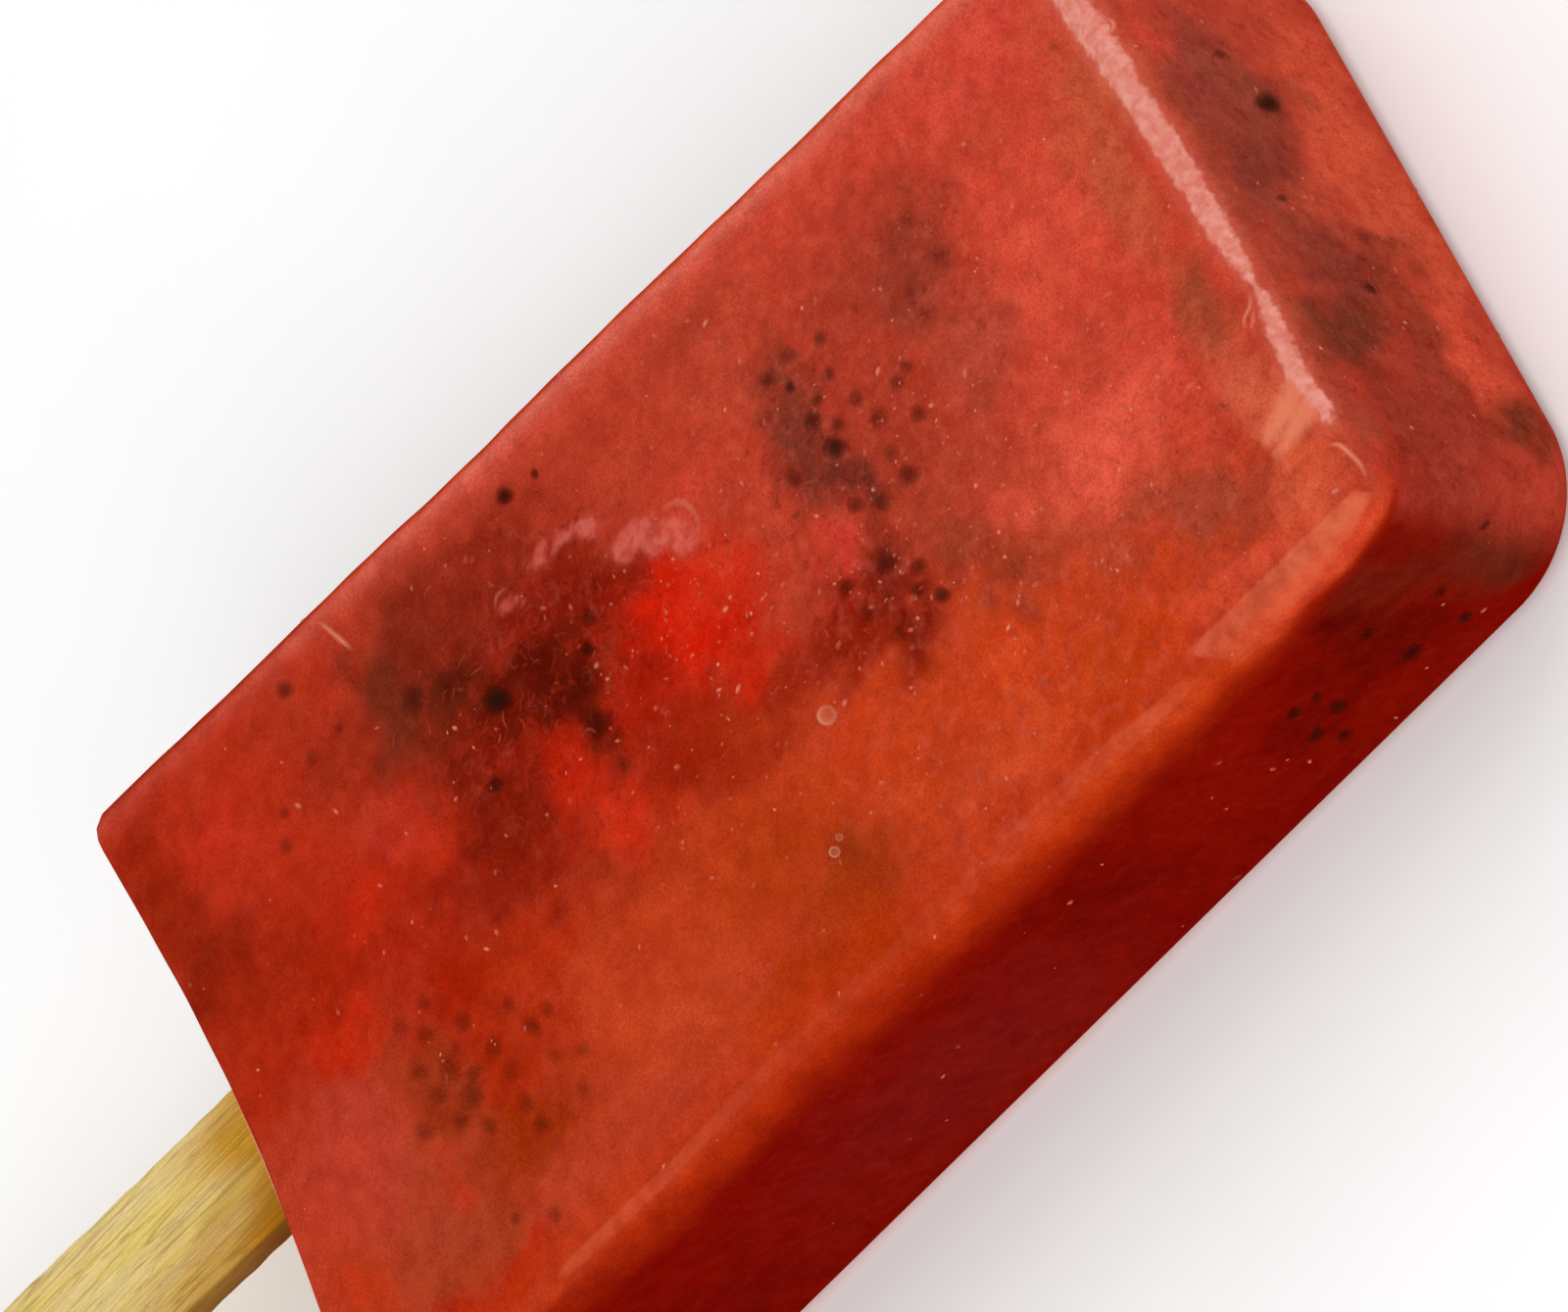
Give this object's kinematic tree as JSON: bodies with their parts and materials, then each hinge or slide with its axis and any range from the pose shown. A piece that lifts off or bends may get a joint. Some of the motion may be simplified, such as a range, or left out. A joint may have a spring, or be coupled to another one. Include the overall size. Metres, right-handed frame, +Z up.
{
  "type": "ice pop",
  "caption": "Fruit ice pop: a tapered rectangular block of red translucent fruit ice with rounded edges, frozen onto a flat wooden stick and lying on its back.",
  "frame": {"origin": "on the surface that the pop lies on, halfway along the whole pop and in the middle of the block's width", "axes": "+X runs along the pop from the stick to the tip of the ice, +Y across it, +Z up out of the front face"},
  "size_m": [0.16, 0.0509, 0.0237],
  "materials": {
    "fruit_ice": "hazy red fruit ice with darker fruit pulp and seeds inside, wet and glossy, with white frost along the edges",
    "stick_wood": "plain pale birch, fine lengthwise grain, damp and darker beside the ice"
  },
  "bodies": {
    "root": {"ice_block": "fruit_ice", "stick": "stick_wood"}
  },
  "joints": []
}
